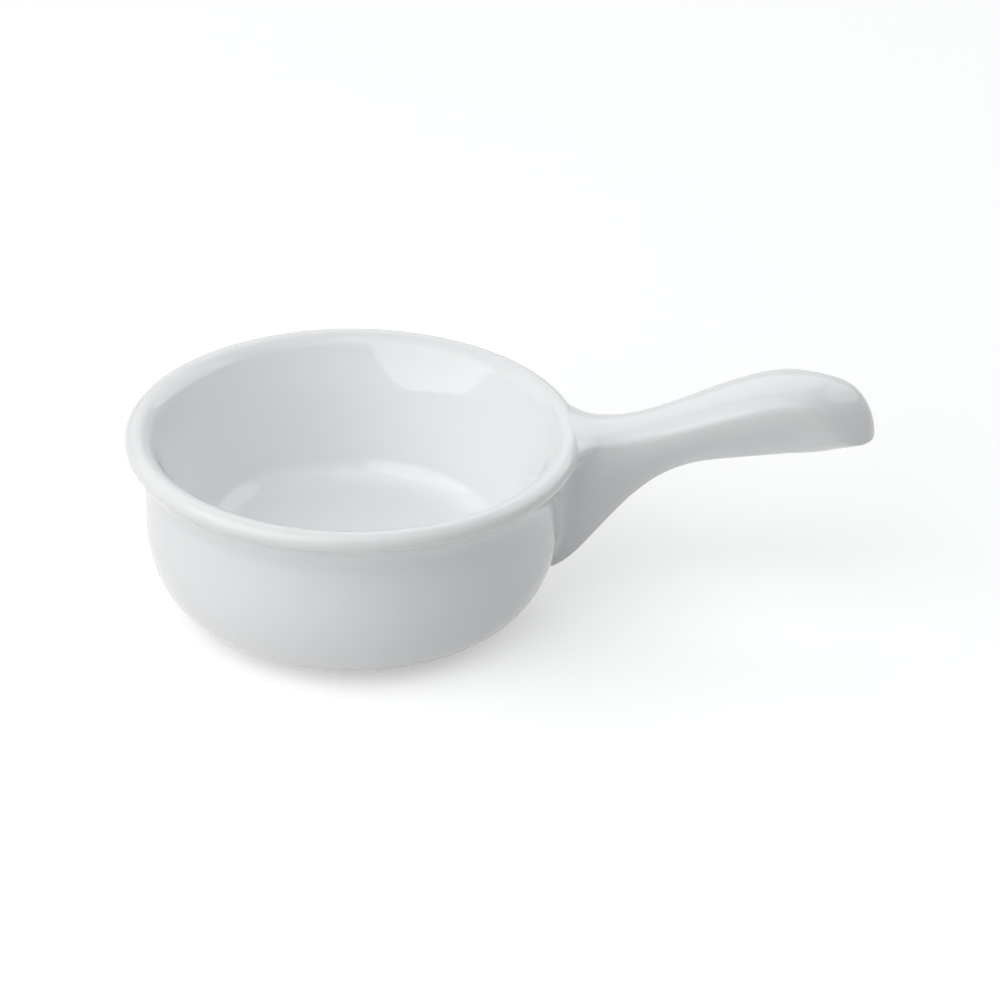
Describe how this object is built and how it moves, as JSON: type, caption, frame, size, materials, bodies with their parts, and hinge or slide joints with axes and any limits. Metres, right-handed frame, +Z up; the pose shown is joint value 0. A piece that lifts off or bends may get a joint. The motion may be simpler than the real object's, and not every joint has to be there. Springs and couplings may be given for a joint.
{
  "type": "sauce dish",
  "caption": "Round straight-sided porcelain sauce dish with a rolled lip, a foot ring and a solid handle that rises to a rounded end, for serving sauce or dip at the table.",
  "frame": {"origin": "on the table, under the middle of the overall length", "axes": "+X along the handle, from the bowl to the tip; +Z up, out of the bowl's mouth"},
  "size_m": [0.1488, 0.09, 0.0475],
  "materials": {
    "glazed_porcelain": "gloss",
    "fired_slip": "matt"
  },
  "bodies": {
    "root": {"bowl": "glazed_porcelain", "handle": "glazed_porcelain", "luting_slip": "fired_slip"}
  },
  "joints": []
}
